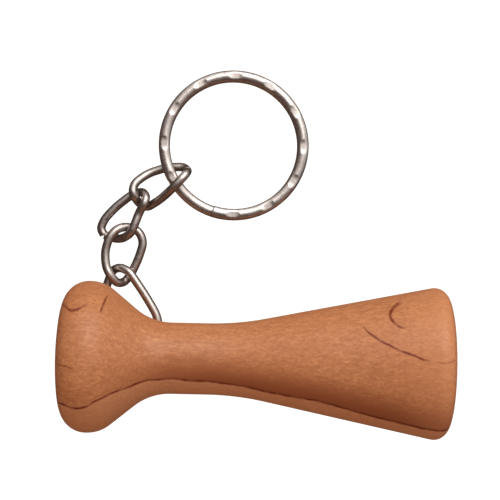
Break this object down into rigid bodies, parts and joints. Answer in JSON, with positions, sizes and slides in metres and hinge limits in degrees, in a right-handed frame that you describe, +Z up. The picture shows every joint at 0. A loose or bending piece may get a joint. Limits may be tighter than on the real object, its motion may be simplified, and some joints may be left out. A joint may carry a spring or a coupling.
{
  "type": "keychain",
  "caption": "Small turned wooden ear trumpet charm with a through bore and conical bell, on a short chain of open wire links with a two-turn split key ring.",
  "frame": {"origin": "on the trumpet's turning axis, where its bore opens in the ear plate's face", "axes": "+X along the turning axis from the ear plate to the bell, +Z up from the table that the keychain lies on"},
  "size_m": [0.061, 0.0593, 0.024],
  "materials": {
    "turned_wood": "satin-sealed pale red beech",
    "eye_plating": "nickel-plated steel",
    "link_plating": "dull nickel-plated steel wire",
    "ring_plating": "bright nickel-plated steel with pressed flats"
  },
  "bodies": {
    "horn": {"horn_body": "turned_wood", "screw_eye": "eye_plating"},
    "eye_link": {"eye_link": "link_plating"},
    "lower_link": {"lower_link": "link_plating"},
    "upper_link": {"upper_link": "link_plating"},
    "ring_link": {"ring_link": "link_plating"},
    "split_ring": {"split_ring": "ring_plating"}
  },
  "joints": [
    {"name": "eye_link_swing", "type": "hinge", "parent": "horn", "child": "eye_link", "pos_m": [0.0122, 0.00371, -0.00966], "axis": [0.9051, -0.3689, 0.2115], "range_deg": [-140, 8]},
    {"name": "lower_link_swing", "type": "hinge", "parent": "eye_link", "child": "lower_link", "pos_m": [0.00736, 0.014, -0.01067], "axis": [0.5212, -0.1403, 0.8419], "range_deg": [-85, 20]},
    {"name": "upper_link_swing", "type": "hinge", "parent": "lower_link", "child": "upper_link", "pos_m": [0.00808, 0.01897, -0.01065], "axis": [-0.7577, 0.2094, -0.6181], "range_deg": [-105, 3]},
    {"name": "ring_link_swing", "type": "hinge", "parent": "upper_link", "child": "ring_link", "pos_m": [0.01062, 0.02493, -0.01063], "axis": [0.3203, -0.5906, -0.7407], "range_deg": [-100, 12]},
    {"name": "ring_turn", "type": "hinge", "parent": "ring_link", "child": "split_ring", "pos_m": [0.02628, 0.03477, -0.00996], "axis": [0.0587, 0.0367, 0.9976], "continuous": true}
  ]
}
